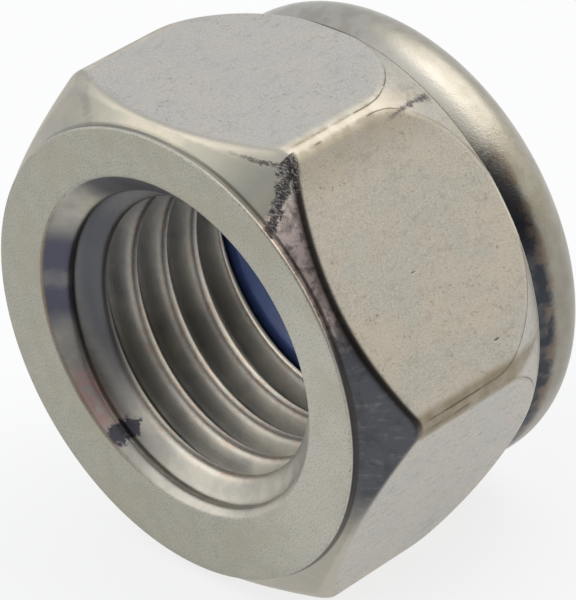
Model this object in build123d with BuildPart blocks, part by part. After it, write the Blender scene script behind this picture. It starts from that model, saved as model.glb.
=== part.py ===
from build123d import *
from math import cos, radians, tan
import os

# Prevailing-torque hexagon nut with a nylon insert, M16 x 2, lying on one of its six flats.
# The thread axis is Y and the origin is the centre of the bearing face. The nut runs from there
# towards +Y: washer face, hexagon, neck groove, then the thin collar rolled in over the insert.
# Two of the flats are level, one up and one down. All sizes are in millimetres.

# --- hexagon ---
across_flats = 24.0
hex_height = 12.15  # bearing face to the back face of the hexagon
corner_round = 1.25  # cold forming never fills the corners out sharp
washer_face_inset = 0.5  # the round bearing face stops this far inside the flats
washer_face_height = 0.35
washer_face_round = 0.12
chamfer_angle = 40.0  # front chamfer, measured from the bearing face
chamfer_round = 0.45  # where the front chamfer runs into the flats
crown_height = 5.05  # the back corners are domed over this height
crown_swell = 0.1  # the dome springs from this far outside the corners
crown_rim_inset = 0.15  # the dome ends on the back face this far inside the flats
crown_round = 0.3  # where the dome runs into the flats

# --- collar ---
collar_height = 3.85  # back face of the hexagon to the top of the lip
spanner_clearance = 0.05  # the collar stays this far inside the flats
roll_radius = 2.1  # the collar is rolled in from its widest turn to the lip
neck_depth = 0.6  # from the widest turn in to the groove behind the hexagon
neck_round = 0.2
collar_wall = 1.0  # at the neck
lip_thickness = 1.2
lip_reach = 0.85  # the lip runs this far in past the end of its roll
lip_round = 0.45

# --- thread, held here as a plain bore along its crests ---
thread_diameter = 16.0
thread_pitch = 2.0
crest_setback = 0.54127  # ISO metric profile: crests stand in from the diameter by this much pitch
thread_height = 10.9  # bearing face to the seat of the insert
countersink_oversize = 0.9  # mouth of the 90 degree countersink, outside the thread
countersink_round = 0.25
thread_exit_chamfer = 0.8

# --- nylon insert ---
insert_grip = 0.7  # the bore is this much inside the bolt's thread, which forms its own way through
insert_clearance = 0.02  # from the collar wall and from the lip
insert_corner_round = 0.9  # outer corner, pressed to shape by the rolled lip
insert_bore_chamfer = 0.3

# --- what follows from the sizes above ---
flat_distance = across_flats / 2
corner_radius = (flat_distance - corner_round) / cos(radians(30)) + corner_round
washer_face_radius = flat_distance - washer_face_inset
dome_radius = corner_radius + crown_swell
chamfer_rise = tan(radians(chamfer_angle)) * (dome_radius - washer_face_radius)
crown_base = hex_height - crown_height
rim_radius = flat_distance - crown_rim_inset
total_height = hex_height + collar_height
collar_radius = flat_distance - spanner_clearance
bulge_height = total_height - roll_radius
neck_radius = collar_radius - neck_depth
seat_radius = neck_radius - collar_wall
lip_underside = total_height - lip_thickness
lip_opening_radius = collar_radius - roll_radius - lip_reach
thread_radius = thread_diameter / 2
crest_radius = thread_radius - crest_setback * thread_pitch
countersink_radius = thread_radius + countersink_oversize
countersink_depth = countersink_radius - crest_radius
insert_bore_radius = thread_radius - insert_grip

# Local X is up and local Z runs along the nut, away from the bearing face.
across_nut = Plane(origin=(0, 0, 0), x_dir=(0, 0, 1), z_dir=(0, 1, 0))

# Steel body. Hexagon and collar are one cold-formed blank. The bearing face, chamfers and bore
# are turned in it, and the collar is rolled in once the insert lies in its seat.
with BuildPart() as nut_body:
    # Hexagonal blank, with a flat facing straight up
    with BuildSketch(across_nut.offset(washer_face_height)):
        RegularPolygon(flat_distance, 6, major_radius=False, rotation=30)
    extrude(amount=hex_height - washer_face_height)
    fillet(nut_body.edges().filter_by(Axis.Y), corner_round)

    # Turned outline: the front chamfer cone, then the arc that domes the back corners
    with BuildSketch(Plane.XY):
        with BuildLine():
            Polyline(
                (0, hex_height),
                (0, washer_face_height),
                (washer_face_radius, washer_face_height),
                (dome_radius, washer_face_height + chamfer_rise),
                (dome_radius, crown_base),
            )
            TangentArc((dome_radius, crown_base), (rim_radius, hex_height), tangent=(0, 1))
            Line((rim_radius, hex_height), (0, hex_height))
        make_face()
    revolve(axis=Axis.Y, mode=Mode.INTERSECT)

    # The chamfer and the dome run softly into the six flats and corners
    bends = nut_body.edges().filter_by(GeomType.HYPERBOLA) + nut_body.edges().filter_by(GeomType.BSPLINE)
    fillet(bends.filter_by_position(Axis.Y, 0, crown_base), chamfer_round)
    bends = nut_body.edges().filter_by(GeomType.BSPLINE)
    fillet(bends.filter_by_position(Axis.Y, crown_base, hex_height), crown_round)

    # Washer face: the round boss that the nut bears on
    with BuildSketch(Plane.XY) as washer_face:
        with Locations((washer_face_radius / 2, washer_face_height / 2)):
            Rectangle(washer_face_radius, washer_face_height)
        fillet(washer_face.vertices().group_by(Axis.Y)[0].sort_by(Axis.X)[-1], washer_face_round)
    revolve(axis=Axis.Y)

    # Collar: flares out of the neck groove to its widest turn, then rolls in to the lip
    with BuildSketch(Plane.XY) as collar:
        with BuildLine():
            Line((0, hex_height), (neck_radius, hex_height))
            TangentArc((collar_radius, bulge_height), (neck_radius, hex_height), tangent=(0, -1))
            TangentArc(
                (collar_radius, bulge_height),
                (collar_radius - roll_radius, total_height),
                tangent=(0, 1),
            )
            Polyline((collar_radius - roll_radius, total_height), (0, total_height), (0, hex_height))
        make_face()
    revolve(axis=Axis.Y)

    # Bore, from the mouth inwards: countersink, thread crests, seat of the insert, lip
    with BuildSketch(Plane.XY) as bore:
        with BuildLine():
            Polyline(
                (0, 0),
                (countersink_radius, 0),
                (crest_radius, countersink_depth),
                (crest_radius, thread_height - thread_exit_chamfer),
                (crest_radius + thread_exit_chamfer, thread_height),
                (seat_radius, thread_height),
                (seat_radius, lip_underside),
                (lip_opening_radius, lip_underside),
                (lip_opening_radius, total_height),
                (0, total_height),
                close=True,
            )
        make_face()
        fillet(bore.vertices().sort_by_distance((seat_radius, lip_underside))[0], insert_corner_round)
    revolve(axis=Axis.Y, mode=Mode.SUBTRACT)

    # Edges rounded by the tools: mouth, neck groove and both sides of the lip
    rings = nut_body.edges().filter_by(GeomType.CIRCLE)
    mouth = rings.sort_by_distance((countersink_radius, 0, 0))[0]
    fillet(mouth, countersink_round)
    rings = nut_body.edges().filter_by(GeomType.CIRCLE)
    fillet(rings.sort_by_distance((neck_radius, hex_height, 0))[0], neck_round)
    rings = nut_body.edges().filter_by(GeomType.CIRCLE)
    fillet(rings.sort_by_distance((lip_opening_radius, total_height, 0))[0], lip_round)

# Nylon insert. A plain ring that lies on its seat and is held by the lip rolled over it.
with BuildPart() as nylon_ring:
    ring_radius = seat_radius - insert_clearance
    ring_top = lip_underside - insert_clearance
    with BuildSketch(Plane.XY) as ring:
        with Locations(((insert_bore_radius + ring_radius) / 2, (thread_height + ring_top) / 2)):
            Rectangle(ring_radius - insert_bore_radius, ring_top - thread_height)
        fillet(ring.vertices().sort_by_distance((ring_radius, ring_top))[0], insert_corner_round)
        chamfer(ring.vertices().group_by(Axis.X)[0], insert_bore_chamfer)
    revolve(axis=Axis.Y)

nut_body.part.label = "nut_body"
nylon_ring.part.label = "nylon_ring"

os.makedirs("parts", exist_ok=True)
export_step(nut_body.part, "parts/nut_body.step")
export_step(nylon_ring.part, "parts/nylon_ring.step")
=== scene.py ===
from math import cos, pi, radians, sin, tan

import bpy
import numpy as np
from mathutils import Matrix, Vector


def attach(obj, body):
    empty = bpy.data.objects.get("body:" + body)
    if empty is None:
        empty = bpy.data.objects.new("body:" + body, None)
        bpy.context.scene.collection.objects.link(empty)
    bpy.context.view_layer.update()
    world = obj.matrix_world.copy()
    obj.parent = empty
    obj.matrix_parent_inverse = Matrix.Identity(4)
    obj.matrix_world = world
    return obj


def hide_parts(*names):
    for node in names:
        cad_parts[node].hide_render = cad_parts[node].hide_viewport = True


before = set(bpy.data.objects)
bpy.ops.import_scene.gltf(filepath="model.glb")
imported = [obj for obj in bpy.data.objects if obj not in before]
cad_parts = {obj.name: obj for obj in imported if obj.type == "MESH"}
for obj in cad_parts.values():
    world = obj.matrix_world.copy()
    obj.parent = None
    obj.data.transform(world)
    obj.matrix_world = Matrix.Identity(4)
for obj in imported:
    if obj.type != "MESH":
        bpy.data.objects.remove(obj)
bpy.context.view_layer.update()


# ---------------------------------------------------------------------------------------------
# Steel body. A cold-formed hexagon of stainless steel with a thin collar behind it. Its bearing
# face, chamfers and thread are cut, and the collar is rolled in over the nylon insert. It lies on
# one flat, with the thread axis along Y and the bearing face at Y = 0. Sizes are in millimetres.

MM = 0.001


class Hex:
    distance = 12.0          # axis to a flat
    corner_round = 1.25
    corner_span = 2.65       # degrees from the middle of a corner to the end of its rounding
    back = 12.15
    boss_radius, boss_height, boss_round = 11.5, 0.35, 0.12
    boss_wall = 0.25         # the boss stands square up to here
    chamfer_slope = tan(radians(40))
    chamfer_blend = 0.34
    dome_start, dome_radius, rim_radius = 6.4, 13.763, 11.985
    dome_blend = 0.10
    dome_bend = 0.12, 1.4    # least and greatest reach of the bend into the dome, at flat and corner
    dome_end, rim_down = 0.05, 0.04   # last rows before the rim, this far below the back
    rim_in, rim_flat = 0.06, 0.15     # first rows past the rim, this far inside it


class Collar:
    radius, bulge, neck = 11.95, 13.9, 11.35
    neck_round, neck_out, neck_rise = 0.2, 0.24, 0.16
    roll, lip_round = 2.1, 0.45
    top, under, opening = 16.0, 14.8, 9.0
    seat, seat_round = 10.35, 0.9
    lip_break, seat_break = 0.08, 0.1     # broken edges under the lip and round the seat


class Thread:
    root, crest, pitch = 8.0, 6.9175, 2.0
    start, start_bearing = 4.22, -127     # height of a crest there, in degrees from the top
    half_crest = 0.125       # of a pitch
    root_round, crest_round, softness = 0.5, 0.25, 0.25
    mouth, mouth_round = 8.72, 0.30
    mouth_shift, shift_towards = 0.52, radians(18)   # the countersink is cut a little off centre
    mouth_oval = 0.06
    mouth_blend = 0.80       # the countersink wears softly into the first turns
    end, end_chamfer, end_blend = 10.9, 0.8, 0.15


def soft_min(a, b, reach):
    gap = np.clip(reach - np.abs(a - b), 0, None) / reach
    return np.minimum(a, b) - gap * gap * reach / 4


def soft_max(a, b, reach):
    return -soft_min(-a, -b, reach)


def arc(centre, radius, first, last, count):
    """Points of an arc as (radius, height) pairs, angles in degrees from outwards to the collar."""
    return [(centre[0] + radius * cos(radians(a)), centre[1] + radius * sin(radians(a)))
            for a in np.linspace(first, last, count)]


# Columns stand closer together round each rounded corner of the hexagon
from_corner = list(np.linspace(0, Hex.corner_span, 10))
from_corner += list(Hex.corner_span + (30 - Hex.corner_span) * np.linspace(0, 1, 20)[1:] ** 1.15)
one_sixth = sorted([-a for a in from_corner[1:]] + from_corner)[:-1]
turn = np.radians(np.array([30 + 60 * k + a for k in range(6) for a in one_sixth]))

# Distance from the axis to the rounded hexagon's outline along each column
to_corner = np.radians(np.abs(np.degrees(turn) % 60 - 30))
round_centre = (Hex.distance - Hex.corner_round) / cos(radians(30))
flat_part = Hex.distance / np.cos(radians(30) - to_corner)
under_root = np.clip(Hex.corner_round ** 2 - (round_centre * np.sin(to_corner)) ** 2, 0, None)
round_part = round_centre * np.cos(to_corner) + np.sqrt(under_root)
flat_ends = np.arctan2((Hex.distance - Hex.corner_round) * tan(radians(30)), Hex.distance)
outline = np.where(radians(30) - to_corner <= flat_ends, flat_part, round_part)

rows = []                    # each row is one loop round the axis: radius and height of every column


def ring_row(radius, height):
    rows.append([np.broadcast_to(size, turn.shape).astype(float) for size in (radius, height)])


def arc_rows(*arc_sizes, skip=0):
    for r, h in arc(*arc_sizes)[skip:]:
        ring_row(r, h)


# Bearing face, out to the edge of its washer boss
mouth = (Thread.mouth + Thread.mouth_shift * np.cos(turn - Thread.shift_towards)
         - Thread.mouth_oval * np.cos(2 * turn))
lead = Thread.mouth_round * tan(radians(22.5))
face_edge = Hex.boss_radius - Hex.boss_round
for r, h in arc((lead, Thread.mouth_round), Thread.mouth_round, 225, 270, 7)[1:]:
    ring_row(mouth + r, h)
for t in np.linspace(0, 1, 9)[1:-1]:
    ring_row((mouth + lead) * (1 - t) + face_edge * t, 0)
arc_rows((face_edge, Hex.boss_round), Hex.boss_round, 270, 360, 5)
ring_row(Hex.boss_radius, Hex.boss_wall)

# Hexagon: chamfer cone, flats and corners, then the dome that runs back to the rim
dome_in, dome_length = Hex.dome_radius - Hex.rim_radius, Hex.back - Hex.dome_start
dome_arc = (dome_in ** 2 + dome_length ** 2) / (2 * dome_in)
dome_centre = Hex.dome_radius - dome_arc
meet_front = Hex.boss_height + Hex.chamfer_slope * (outline - Hex.boss_radius)
meet_back = Hex.dome_start + np.sqrt(np.clip(dome_arc ** 2 - (outline - dome_centre) ** 2, 0, None))
slope_back = (meet_back - Hex.dome_start) / (outline - dome_centre)
reach_front = Hex.chamfer_blend * Hex.chamfer_slope
reach_back = np.clip(1.15 * Hex.dome_blend / slope_back, *Hex.dome_bend)

# Where a bend runs into the boss or the rim, its rows close up but never meet
least_cone, least_front, least_back, rim_gap = 0.001, 0.002, 0.004, 0.01
cone_length = np.clip(meet_front - reach_front - Hex.boss_height, least_cone, None)
front_starts = np.minimum(reach_front, meet_front - Hex.boss_height - least_front)
back_ends = np.clip(Hex.back - meet_back - rim_gap, least_back, reach_back)


def hex_row(height):
    cone = Hex.boss_radius + (height - Hex.boss_height) / Hex.chamfer_slope
    above = np.clip(height - Hex.dome_start, 0, None)
    dome = dome_centre + np.sqrt(np.clip(dome_arc ** 2 - above ** 2, 0, None))
    ring_row(soft_min(soft_min(outline, cone, Hex.chamfer_blend), dome, Hex.dome_blend), height)


def hex_rows(first, last, count):
    for t in np.linspace(0, 1, count)[:-1]:
        hex_row(first + (last - first) * t)


hex_rows(Hex.boss_height, Hex.boss_height + cone_length, 8)
for t in np.linspace(-1, 1, 11)[:-1]:
    hex_row(meet_front + np.where(t < 0, front_starts, reach_front) * t)
hex_rows(meet_front + reach_front, meet_back - reach_back, 17)
for t in np.linspace(-1, 1, 13)[:-1]:
    hex_row(meet_back + np.where(t < 0, reach_back, back_ends) * t)
hex_rows(meet_back + back_ends, Hex.back - Hex.dome_end, 12)
hex_row(np.full(turn.shape, Hex.back - Hex.rim_down))
ring_row(Hex.rim_radius - Hex.rim_in, Hex.back)
ring_row(Hex.rim_radius - Hex.rim_flat, Hex.back)

# Neck groove and collar: out to the widest turn, over the roll and in along the lip
flare_in, flare_length = Collar.radius - Collar.neck, Collar.bulge - Hex.back
flare = (flare_in ** 2 + flare_length ** 2) / (2 * flare_in)
flare_start = np.degrees(np.arcsin((Collar.neck_rise - flare_length) / flare))
arc_rows((Collar.neck + Collar.neck_out, Hex.back + Collar.neck_round), Collar.neck_round, 270, 205, 5)
arc_rows((Collar.radius - flare, Collar.bulge), flare, flare_start, 0, 12)
arc_rows((Collar.radius - Collar.roll, Collar.bulge), Collar.roll, 0, 90, 22, skip=1)
arc_rows((Collar.opening + Collar.lip_round, Collar.top - Collar.lip_round), Collar.lip_round, 90, 180, 8)
ring_row(Collar.opening, Collar.under + Collar.lip_break)
ring_row(Collar.opening + Collar.lip_break, Collar.under)
arc_rows((Collar.seat - Collar.seat_round, Collar.under - Collar.seat_round), Collar.seat_round, 90, 0, 5)
ring_row(Collar.seat, Thread.end + Collar.seat_break)
for r in (Collar.seat - Collar.seat_break, 9.2, 8.3):
    ring_row(r, Thread.end)

# Right-hand thread, from the insert's seat back to the countersink at the mouth
lowest = Thread.mouth_round * (1 - cos(radians(45)))
crest_at = Thread.start + Thread.pitch * (np.degrees(turn) - Thread.start_bearing) / 360
for height in np.linspace(Thread.end, lowest, 134):
    turns_off = (height - crest_at) / Thread.pitch
    phase = np.abs(turns_off - np.round(turns_off))
    flank = Thread.crest + (phase - Thread.half_crest) * Thread.pitch / tan(radians(30))
    cut_form = soft_max(soft_min(flank, Thread.root, Thread.root_round), Thread.crest, Thread.crest_round)
    round_form = Thread.root - (Thread.root - Thread.crest) * (0.5 + 0.5 * np.cos(2 * pi * phase))
    wall = (1 - Thread.softness) * cut_form + Thread.softness * round_form
    way_out = Thread.crest + Thread.end_chamfer - (Thread.end - height)
    ring_row(soft_max(soft_max(wall, mouth - height, Thread.mouth_blend), way_out, Thread.end_blend), height)


def closed_loops(name, loops, angles):
    """One closed surface through the loops, the last joined to the first."""
    count, across = len(loops), len(angles)
    radius, height = np.array([r for r, _ in loops]), np.array([h for _, h in loops])
    points = np.stack([radius * np.sin(angles), height, radius * np.cos(angles)], axis=-1) * MM
    j, i = np.meshgrid(np.arange(count), np.arange(across), indexing="ij")
    after, beside = (j + 1) % count, (i + 1) % across
    faces = np.stack([j * across + i, j * across + beside, after * across + beside, after * across + i], -1)
    mesh = bpy.data.meshes.new(name)
    mesh.from_pydata(points.reshape(-1, 3).tolist(), [], faces.reshape(-1, 4).tolist())
    mesh.update()
    mesh.shade_smooth()
    piece = bpy.data.objects.new(name, mesh)
    bpy.context.scene.collection.objects.link(piece)
    return piece


steel = closed_loops("nut_steel", rows, turn)


class Value:
    """A socket of a node. Sums on it add the Math nodes that work them out."""

    def __init__(self, finish, socket):
        self.finish, self.socket = finish, socket

    def __add__(self, other): return self.finish.maths("ADD", self, other)
    def __radd__(self, other): return self.finish.maths("ADD", other, self)
    def __sub__(self, other): return self.finish.maths("SUBTRACT", self, other)
    def __rsub__(self, other): return self.finish.maths("SUBTRACT", other, self)
    def __mul__(self, other): return self.finish.maths("MULTIPLY", self, other)
    def __rmul__(self, other): return self.finish.maths("MULTIPLY", other, self)
    def __truediv__(self, other): return self.finish.maths("DIVIDE", self, other)
    def __rtruediv__(self, other): return self.finish.maths("DIVIDE", other, self)
    def __pow__(self, other): return self.finish.maths("POWER", self, other)
    def __mod__(self, other): return self.finish.maths("FLOORED_MODULO", self, other)
    def __abs__(self): return self.finish.maths("ABSOLUTE", self)


class Finish:
    """The node material of one piece, or the nodes of a tree that is given."""

    def __init__(self, name, tree=None):
        if tree is None:
            self.material = bpy.data.materials.new(name)
            self.material.use_nodes = True
            tree = self.material.node_tree
        self.tree = tree
        self.tree.nodes.clear()

    def add(self, kind, settings=None, sockets=None, out=0):
        """Adds a node: its settings first, then the values or links of its sockets. Gives its
        output, or several where out lists them."""
        node = self.tree.nodes.new(kind)
        for key, value in (settings or {}).items():
            setattr(node, key, value)
        for key, value in (sockets or {}).items():
            if isinstance(value, Value):
                self.tree.links.new(value.socket, node.inputs[key])
            else:
                node.inputs[key].default_value = value
        if not node.outputs:
            return node
        if isinstance(out, tuple):
            return [Value(self, node.outputs[k]) for k in out]
        return Value(self, node.outputs[out])

    def maths(self, operation, *values):
        return self.add("ShaderNodeMath", {"operation": operation}, dict(enumerate(values)))

    def millimetres(self):
        """Place on the piece, in millimetres."""
        return self.add("ShaderNodeVectorMath", {"operation": "SCALE"},
                        {0: self.add("ShaderNodeTexCoord", out=3), "Scale": 1000.0})


def step(value, low, high):
    """0 below low and 1 above high, with a soft edge. With low above high it falls instead."""
    ends = {"From Min": low, "From Max": high} if low < high else {
        "From Min": high, "From Max": low, "To Min": 1.0, "To Max": 0.0}
    return value.finish.add("ShaderNodeMapRange", {"interpolation_type": "SMOOTHSTEP"},
                            {"Value": value, **ends})


def near(value, middle, core, reach):
    """1 within core of the middle, and 0 from reach on."""
    return step(abs(value - middle), reach, core)


def between(value, start, full, fade, end):
    """Rises from start to full, and falls again from fade to end."""
    return step(value, start, full) * step(value, end, fade)


def capped(value):
    return value.finish.maths("MINIMUM", value, 1.0)


def stretched(place, stretch):
    return place.finish.add("ShaderNodeVectorMath", {"operation": "MULTIPLY"}, {0: place, 1: stretch})


def cloud(place, scale, detail=2.0, stretch=(1, 1, 1), roughness=0.55):
    """Noise from 0 to 1, with about `scale` patches to a millimetre."""
    return place.finish.add("ShaderNodeTexNoise", {}, {
        "Vector": stretched(place, stretch), "Scale": scale, "Detail": detail, "Roughness": roughness})


def mix(share, first, second):
    """Colour that goes from first to second as share goes from 0 to 1."""
    ends = {key: colour if isinstance(colour, Value) else (*colour, 1)
            for key, colour in ((6, first), (7, second))}
    return share.finish.add("ShaderNodeMix", {"data_type": "RGBA"}, {0: share, **ends}, 2)


def coats(colour, *layers):
    """Lays coats over a colour. Each is a pair: how much of it covers, and its own colour."""
    for share, layer in layers:
        colour = mix(share, colour, layer)
    return colour


finish = Finish("stainless_steel")
spot = finish.millimetres()
x, y, z = finish.add("ShaderNodeSeparateXYZ", {}, {0: spot}, (0, 1, 2))
radius = (x * x + z * z) ** 0.5
bearing = finish.maths("ARCTAN2", x, z) * (180 / pi)          # degrees from the top, towards +X
sector = ((bearing + 30) % 60 - 30) * (pi / 180)               # from the middle of the nearest flat
offset = radius * finish.maths("SINE", sector)
depth = radius * finish.maths("COSINE", sector)
past_cone = y - Hex.boss_height - Hex.chamfer_slope * (radius - Hex.boss_radius)
across_cone = (radius - Hex.boss_radius) / (Hex.distance / finish.maths("COSINE", sector) - Hex.boss_radius)

# Where each surface is, by height and radius in millimetres
on_hexagon = step(radius, 11.3, 11.45) * step(y, 12.25, 12.12)
on_face = step(y, 0.10, 0.02) * step(radius, 7.8, 7.9)
on_flat = step(depth, 11.90, 11.975) * on_hexagon * step(past_cone, 0.1, 0.35)
on_corner = step(abs(offset), 6.0, 6.45) * on_hexagon * step(past_cone, 0.0, 0.25)
on_cone = step(past_cone, 0.22, 0.04) * step(radius, 11.42, 11.5) * step(y, 0.06, 0.18)
on_bend = between(past_cone, 0.0, 0.07, 0.2, 0.5) * on_hexagon
on_collar = step(y, 12.1, 12.25)
in_bore = step(radius, 9.5, 9.35) * between(y, 0.02, 0.10, 11.0, 11.2)

grain = cloud(spot, 13.0, stretch=(1.0, 0.6, 1.0))
meal = cloud(spot, 5.0, 4.0, stretch=(1.0, 0.7, 1.0), roughness=0.65)
speckle = cloud(spot, 13.0, roughness=0.7)
mottle = cloud(spot, 1.1, 3.0)
patch = cloud(spot, 0.42, 3.0)
warm_cloud = cloud(spot, 0.30, 4.0, roughness=0.6)
rough_edge = cloud(spot, 2.6, 5.0, roughness=0.7)
drawn = cloud(spot, 3.0, 4.0, stretch=(1.0, 0.35, 1.0))
scratch = cloud(spot, 6.5, 3.0, stretch=(0.45, 2.0, 1.4), roughness=0.7)
mottled, uneven = step(mottle, 0.3, 0.7), rough_edge - 0.5
fray = 0.50 * rough_edge + 0.30 * scratch + 0.20 * speckle - 0.5

# Flats: satin, with beige patches on the flat at 60 degrees and greyer between, with a few fine creases
beige_patches = step(warm_cloud, 0.48, 0.60) * near(bearing, 60, 28.0, 34.0)
crease = near(cloud(spot, 0.75, 4.0, roughness=0.6), 0.5, 0.003, 0.010) * step(meal, 0.50, 0.56)
skin = coats(
    mix(step(patch + 0.25 * (mottle - 0.5), 0.42, 0.58), (0.524, 0.508, 0.466), (0.548, 0.518, 0.464)),
    (step(drawn, 0.48, 0.80) * 0.55, (0.38, 0.35, 0.30)),
    (step(grain, 0.52, 0.70) * 0.40, (0.32, 0.30, 0.26)),
    (step(grain, 0.46, 0.28) * 0.42, (0.72, 0.69, 0.62)),
    (step(meal, 0.54, 0.72) * 0.5, (0.37, 0.345, 0.30)),
    (beige_patches * 0.35, (0.60, 0.535, 0.445)),
    (crease * step(warm_cloud, 0.50, 0.54) * on_flat * 0.5, (0.12, 0.105, 0.085)))

# Corners and bends: worn bright and partly a painted highlight, tan at one corner, with an olive
# film and hairlines at the flats' borders, and a rim with painted shade above and a painted highlight
# elsewhere
# Corners: worn bright, and in the same colour a painted highlight
worn_and_highlight = mix(step(mottle, 0.35, 0.7), (0.66, 0.62, 0.53), (0.56, 0.51, 0.42))
tan_corner = near(bearing, 88.5, 4.0, 8.5) * (0.55 + 0.75 * mottle)
film = near(depth, 11.93, 0.0, 0.07) * on_hexagon * step(past_cone, 0.0, 0.2)
scored = (step(patch, 0.50, 0.58) + near(bearing, 81.0, 7.0, 10.0)
          + near(bearing, 26.0, 2.5, 3.5) * step(meal, 0.44, 0.50))
hairline = near(depth + 0.03 * (patch - 0.5), 11.925, 0.006, 0.020) * step(past_cone, 0.4, 1.0)
# The rim line is a painted highlight along the hexagon's back edge, with painted shade along its top
rim_line = step(y, 11.96, 12.03) * on_hexagon
rim_shade_at = between(bearing, -50.0, -20.0, 47.0, 54.0)
border = step(abs(offset), 3.9, 6.2) * near(bearing, 47, 15.0, 19.0) * on_flat
skin = coats(
    skin,
    (on_corner * 0.75, worn_and_highlight),
    (on_corner * tan_corner * 0.8, (0.27, 0.218, 0.148)),
    (film * step(mottle, 0.3, 0.6) * 0.5, (0.27, 0.24, 0.165)),
    (capped(hairline * on_hexagon * scored) * 0.7, (0.09, 0.075, 0.055)),
    (rim_line * (0.65 + 0.25 * rim_shade_at), mix(rim_shade_at, (0.74, 0.71, 0.64), (0.07, 0.055, 0.04))),
    (border * (0.2 + 0.4 * mottle), (0.30, 0.26, 0.19)))

# Bearing face: turned matt, olive grey, lighter on one side as painted light, with fine pits
face = coats(
    mix(mottled, (0.415, 0.408, 0.350), (0.455, 0.440, 0.375)),
    (between(bearing, 35.0, 75.0, 120.0, 165.0) * 0.8, (0.55, 0.535, 0.47)),
    (step(grain, 0.50, 0.64) * 0.40, (0.24, 0.23, 0.195)),
    (step(grain, 0.48, 0.34) * 0.40, (0.50, 0.49, 0.43)),
    (step(speckle, 0.60, 0.70) * 0.75, (0.13, 0.125, 0.11)),
    (step(warm_cloud, 0.46, 0.60) * 0.35, (0.40, 0.365, 0.285)),
    (step(rough_edge, 0.56, 0.70) * step(patch, 0.50, 0.60) * 0.30, (0.25, 0.245, 0.225)))

# Chamfer: same skin where it is clean, with a painted cream highlight along the bend, and a painted
# reflection from pinkish to near black towards the lower right
levelled = step(across_cone + 0.35 * uneven, 0.72, 0.55) * near(bearing, 20, 9.0, 13.0)
# A painted cream highlight along the chamfer's bend
cream_highlight = step(across_cone + 0.25 * uneven, 0.62, 0.76)
# Painted reflection on the chamfer, from pinkish to near black towards the lower right
painted_reflection_at = between(bearing, 34.0, 39.0, 104.0, 128.0)
pinkish_reflection = mix(step(rough_edge, 0.46, 0.68), (0.92, 0.76, 0.68), (0.36, 0.30, 0.28))
sweep = finish.add("ShaderNodeCombineXYZ", {}, {0: bearing * 0.55, 1: radius * 0.7 + bearing * 0.06, 2: 0.0})
swept = cloud(sweep, 1.0, 5.0, roughness=0.65)
painted_reflection = coats(
    mix(step(bearing + 9 * rough_edge, 62.0, 76.0), pinkish_reflection, (0.088, 0.092, 0.102)),
    (step(swept + 0.6 * uneven, 0.50, 0.78) * 0.28, (0.34, 0.32, 0.31)),
    (step(mottle, 0.50, 0.36) * 0.45, (0.055, 0.055, 0.06)))
cone = coats(
    mix(mottled, (0.370, 0.356, 0.300), (0.425, 0.388, 0.318)),
    (levelled, (0.325, 0.315, 0.265)),
    (cream_highlight * 0.55, (0.54, 0.50, 0.42)),
    (painted_reflection_at, painted_reflection))
dark_bend = on_bend * step(past_cone, 0.42, 0.16) * between(bearing, 31.0, 33.5, 88.0, 93.0)

# Torn streaks that run from each corner down its chamfer to the boss, strongest near the top
streak_at = (bearing + 30) % 60 - 1.5 - (13.5 - radius) * 3.6
streak_width = 2.6 + 2.2 * step(radius, 12.3, 13.4)
torn = step(1.0 - abs(streak_at) / streak_width + fray * 4.0, 0.28, 0.60) * capped(on_cone + on_bend)
torn = torn * (0.22 + 0.78 * near(bearing, 30, 15.0, 30.0)) * near(bearing, 20, 40.0, 75.0)
hatch = mix(step(scratch, 0.47, 0.66), (0.026, 0.024, 0.030), (0.36, 0.34, 0.32))

# A thin dark line at the boss's edge, the streak's tail along the bend of the top flat, a rub
# across the corner behind it, and dark wear at the back of every corner
boss_line = near(radius, 11.53, 0.03, 0.10) * between(y, 0.10, 0.2, 0.45, 0.62)
tail = step(1.0 - abs(across_cone - 0.70) / 0.13 + fray * 3.5, 0.55, 0.80) * step(past_cone, 0.5, 0.3)
tail = tail * on_hexagon * between(bearing, 16.0, 27.0, 30.0, 31.0)
rub_at = abs(bearing - 33.4 + 0.60 * (y - 8.0)) / (0.8 + 0.3 * (y - 8.0))
rub = step(1.0 - rub_at + fray * 4.0, 0.35, 0.85) * between(y, 7.6, 9.2, 11.4, 11.9)
rub = rub * on_hexagon * near(bearing, 32, 6.0, 9.0)
back_wear = between(y, 9.2, 10.4, 11.5, 12.1) * near(abs(sector), pi / 6, 0.02, 0.075) * on_hexagon
back_wear = back_wear * step(0.6 * rough_edge + 0.4 * scratch, 0.44, 0.56)

# Nicks: short dark scratches scattered over the flats
cells = finish.add("ShaderNodeTexVoronoi", {"feature": "F1"}, {
    "Vector": stretched(spot, (0.9, 0.35, 0.9)), "Scale": 0.62})
nicks = step(cells, 0.055, 0.02) * on_flat
skin = coats(
    skin,
    (on_face, face),
    (on_cone, cone),
    (dark_bend * 0.92, (0.030, 0.026, 0.024)),
    (torn * 0.9, hatch),
    (boss_line * (0.25 + 0.5 * step(bearing, 5.0, 35.0)), (0.05, 0.045, 0.04)),
    (tail * 0.75, hatch),
    (rub * 0.85, hatch),
    (back_wear * 0.25, (0.055, 0.05, 0.05)),
    (nicks * 0.8, (0.09, 0.08, 0.075)))

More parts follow.
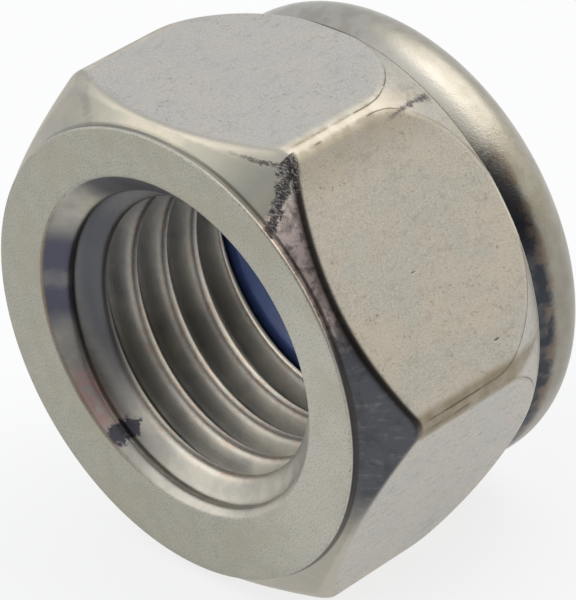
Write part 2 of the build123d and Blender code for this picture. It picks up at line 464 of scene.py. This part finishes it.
# Collar: a painted highlight on top, a band of painted shade in the groove that faces the hexagon, painted
# shade on its lower side, and rusty at its edge
# A dark band in the groove next to the hexagon, painted shade
low = step(y + 0.5 * uneven, 13.58, 13.05) * on_collar
dark_band_at = step(bearing + 14 * uneven, 44.0, 54.0) + step(bearing, -60.0, -90.0)
collar_highlight = step(y, 13.9, 13.0) * step(bearing + 8 * uneven, 52.0, 44.0) * step(bearing, 0.0, 25.0)
shade_band = coats(
    mix(step(bearing, 50.0, 68.0), (0.24, 0.235, 0.225), (0.034, 0.040, 0.052)),
    (step(mottle, 0.42, 0.66) * 0.5, (0.14, 0.135, 0.13)))
# The roll is darker from its right side round to the bottom, as painted shade
roll = coats(
    mix(mottled, (0.44, 0.42, 0.365), (0.37, 0.345, 0.285)),
    (between(bearing, 55.0, 85.0, 130.0, 170.0) * 0.45, (0.17, 0.155, 0.12)),
    (step(grain, 0.55, 0.8) * 0.5, (0.22, 0.20, 0.165)),
    (collar_highlight * 0.6, (0.72, 0.69, 0.62)))
rusty = near(y, 13.2, 0.1, 0.45) * dark_band_at * on_collar * step(mottle, 0.46, 0.60)
skin = coats(
    skin,
    (on_collar, roll),
    (low * capped(dark_band_at) * step(rough_edge, 0.16, 0.40) * 0.95, shade_band),
    (rusty * 0.5, (0.25, 0.17, 0.12)))

# Thread: cut bright, with painted shade in the grooves, painted warm highlights on the crests, and painted
# grey-blue shade on the first turns and round the upper part of the bore
on_thread = step(y, 1.0, 1.5)
along = ((y - Thread.start) / Thread.pitch - (bearing - Thread.start_bearing) / 360) % 1.0   # 0 at a crest
# Painted shade in the grooves, painted highlights on the crests, painted grey-blue shade on the first turns
# and upper turns
groove_shade = between(along, 0.10, 0.20, 0.42, 0.72) * on_thread
crest = step(radius, 7.25, 6.98) * on_thread
crest_highlight = mix(step(rough_edge, 0.45, 0.62), (0.72, 0.69, 0.61), (0.70, 0.56, 0.46))
shaded = between(bearing, -118.0, -84.0, 0.0, 30.0) * on_thread
first_turn_shade = between(bearing, -150.0, -108.0, -62.0, -30.0) * step(y, 3.4, 2.2) * on_thread

# Countersink: painted grey, blue and navy reflections round it, a painted pinkish highlight, and a pit in
# its edge
on_sink = step(y, 1.5, 1.0)
# The grey, blue and navy marks are painted reflections, the pink one a painted highlight
grey_reflection = between(bearing, -128.0, -104.0, -60.0, -50.0)
blue_reflection = between(bearing, -104.0, -92.0, -68.0, -56.0)
blue_reflection = blue_reflection * (1.0 - 0.35 * near(bearing + 6 * uneven, -82.0, 1.0, 5.0))
navy_reflection = between(bearing, -42.0, -28.0, 15.0, 40.0)
pink_highlight = between(bearing, -142.0, -136.0, -120.0, -112.0) * step(rough_edge, 0.40, 0.52)
pit = abs(bearing + 142.5) / 5.0 + abs(radius - 7.85) / 0.55 + uneven * 2.4
cut = coats(
    mix(step(mottle, 0.35, 0.7), (0.56, 0.53, 0.455), (0.47, 0.455, 0.405)),
    (step(patch, 0.40, 0.66) * 0.35, (0.22, 0.22, 0.225)),
    (groove_shade * 0.72, (0.15, 0.15, 0.145)),
    (crest * 0.8, crest_highlight),
    (shaded * (0.42 + 0.25 * step(bearing, -75.0, -45.0)), (0.105, 0.112, 0.14)),
    (first_turn_shade * (0.50 + 0.38 * step(y, 1.5, 1.9)), (0.105, 0.11, 0.125)),
    (on_sink * grey_reflection * 0.45, (0.17, 0.17, 0.175)),
    (on_sink * blue_reflection * 0.85, (0.065, 0.07, 0.115)),
    (on_sink * navy_reflection * 0.8, (0.07, 0.075, 0.10)),
    (on_sink * pink_highlight * 0.8, (0.56, 0.37, 0.34)),
    (step(pit, 1.05, 0.75) * step(y, 1.9, 1.6) * 0.9, (0.06, 0.06, 0.085)))
mouth_line = between(y, 0.002, 0.02, 0.07, 0.16) * step(radius, 9.7, 9.5) * near(bearing, -105, 35.0, 70.0)
skin = coats(
    skin,
    (in_bore, cut),
    (mouth_line * (0.25 + 0.6 * mottle), (0.20, 0.135, 0.095)))

polish = (0.40 + 0.10 * grain + 0.10 * on_face - 0.10 * on_cone + 0.08 * on_corner
          + 0.05 * in_bore - 0.14 * on_collar + 0.12 * torn)
relief = ((0.35 * grain + 0.25 * speckle + 0.35 * mottle) * (1.0 - on_cone * (0.5 + 0.3 * painted_reflection_at))
          - 0.5 * torn - nicks)
surface = finish.add("ShaderNodeBsdfPrincipled", {}, {
    "Base Color": skin, "Metallic": 1.0, "Roughness": polish,
    "Normal": finish.add("ShaderNodeBump", {}, {"Height": relief, "Strength": 0.5, "Distance": 0.00005})})
finish.add("ShaderNodeOutputMaterial", {}, {"Surface": surface})
steel.data.materials.append(finish.material)
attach(steel, "root")
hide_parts("nut_body")


# ---------------------------------------------------------------------------------------------
# Nylon insert. A blue ring, turned plain and a little smaller inside than the bolt's thread. It
# is pressed against its seat behind the thread and held by the collar rolled over its back edge.

class Insert:
    bore, outside, front, back = 7.3, 10.33, 10.9, 14.78
    bore_round, foot_round, shoulder_round = 0.3, 0.1, 0.9


around = np.radians(np.arange(0, 360, 2.5))
bore_turn = Insert.bore + Insert.bore_round
foot_turn, shoulder_turn = Insert.outside - Insert.foot_round, Insert.outside - Insert.shoulder_round
ring_points = (
    arc((bore_turn, Insert.front + Insert.bore_round), Insert.bore_round, 180, 270, 6)
    + [(8.4, Insert.front), (9.4, Insert.front)]
    + arc((foot_turn, Insert.front + Insert.foot_round), Insert.foot_round, 270, 360, 3)
    + arc((shoulder_turn, Insert.back - Insert.shoulder_round), Insert.shoulder_round, 0, 90, 8)
    + arc((bore_turn, Insert.back - Insert.bore_round), Insert.bore_round, 90, 180, 6)
    + [(Insert.bore, h) for h in np.linspace(Insert.back - 0.6, Insert.front + 0.6, 12)])
ring_loops = [(np.full(around.shape, r), np.full(around.shape, h)) for r, h in ring_points]
nylon = closed_loops("nylon_insert", ring_loops, around)

finish = Finish("blue_nylon")
spot = finish.millimetres()
mottle = cloud(spot, 1.2, 3.0)
turning = cloud(spot, 5.0, stretch=(0.15, 2.4, 0.15))
colour = coats(
    mix(step(mottle, 0.3, 0.7), (0.018, 0.050, 0.19), (0.030, 0.075, 0.25)),
    (step(turning, 0.55, 0.8) * 0.4, (0.07, 0.09, 0.22)))
surface = finish.add("ShaderNodeBsdfPrincipled", {}, {
    "Base Color": colour, "Roughness": 0.38 + 0.15 * mottle, "IOR": 1.5,
    "Normal": finish.add("ShaderNodeBump", {}, {"Height": turning, "Strength": 0.4, "Distance": 0.00005})})
finish.add("ShaderNodeOutputMaterial", {}, {"Surface": surface})
nylon.data.materials.append(finish.material)
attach(nylon, "root")
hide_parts("nylon_ring")


# ---------------------------------------------------------------------------------------------
# Floor. A wide pale sheet of studio paper under the nut, which lies on one of its flats. It looks
# white wherever nothing shades it, and it takes the nut's shadow.

half = 3.0                   # metres
floor_mesh = bpy.data.meshes.new("floor")
corners = [(-half, -half, 0), (half, -half, 0), (half, half, 0), (-half, half, 0)]
floor_mesh.from_pydata(corners, [], [(0, 1, 2, 3)])
floor = bpy.data.objects.new("floor", floor_mesh)
floor.location = (0, 0, -Hex.distance * MM)
bpy.context.scene.collection.objects.link(floor)

finish = Finish("studio_paper")
paper = finish.add("ShaderNodeBsdfDiffuse", {}, {"Color": (0.80, 0.82, 0.85, 1)})
bright = finish.add("ShaderNodeEmission", {}, {"Color": (1, 1, 1, 1), "Strength": 1.0})
seen, mirrored, through = finish.add("ShaderNodeLightPath", {}, {}, (0, 3, 6))
share = finish.maths("MAXIMUM", finish.maths("MAXIMUM", seen, mirrored), through) * 0.78
lit = finish.add("ShaderNodeMixShader", {}, {0: share, 1: paper, 2: bright})
finish.add("ShaderNodeOutputMaterial", {}, {"Surface": lit})
floor.data.materials.append(finish.material)


# ---------------------------------------------------------------------------------------------
# Studio. Two large soft lamps, one in front to the left and one overhead, and a pale room that is
# warmer to the right and has one dark wall, in front to the right. Sizes are in metres.

world = bpy.data.worlds.new("studio_room")
world.use_nodes = True
finish = Finish("studio_room", world.node_tree)
look = finish.add("ShaderNodeTexCoord")


def facing(direction):
    """How far the room's walls lie in a direction, from -1 to 1."""
    return finish.add("ShaderNodeVectorMath", {"operation": "DOT_PRODUCT"}, {0: look, 1: direction}, 1)


pale = mix(step(facing((0.80, 0.2, -0.2)), -0.6, 0.6), (0.79, 0.82, 0.88), (0.91, 0.88, 0.81))
room = mix(step(facing((0.83, -0.55, -0.06)), 0.42, 0.68), pale, (0.07, 0.07, 0.08))
walls = finish.add("ShaderNodeBackground", {}, {"Color": room, "Strength": 1.0})
finish.add("ShaderNodeOutputWorld", {}, {"Surface": walls})
bpy.context.scene.world = world


def soft_lamp(name, place, size, power, colour):
    lamp = bpy.data.objects.new(name, bpy.data.lights.new(name, "AREA"))
    lamp.data.shape, lamp.data.size, lamp.data.energy, lamp.data.color = "DISK", size, power, colour
    lamp.location = place
    lamp.rotation_euler = (-Vector(place)).to_track_quat("-Z", "Y").to_euler()
    bpy.context.scene.collection.objects.link(lamp)


soft_lamp("key", (-0.38, -0.36, 0.36), size=0.56, power=1.05, colour=(1.0, 0.95, 0.87))
soft_lamp("overhead", (0.07, 0.30, 0.45), size=0.56, power=1.05, colour=(1.0, 0.95, 0.88))

camera = bpy.data.objects.new("camera", bpy.data.cameras.new("camera"))
bpy.context.scene.collection.objects.link(camera)
camera.data.lens, camera.data.sensor_width = 270, 36
camera.data.clip_start, camera.data.clip_end = 0.01, 20
stand = Vector((0.134457, -0.117288, 0.106138))
right, up = Vector((0.7131, 0.6962, -0.0828)), Vector((-0.3012, 0.4109, 0.8605))
back = Vector((0.6331, -0.5887, 0.5027))
camera.matrix_world = Matrix.Translation(stand) @ Matrix((right, up, back)).transposed().to_4x4()
bpy.context.scene.camera = camera
bpy.context.scene.view_settings.view_transform = "Standard"
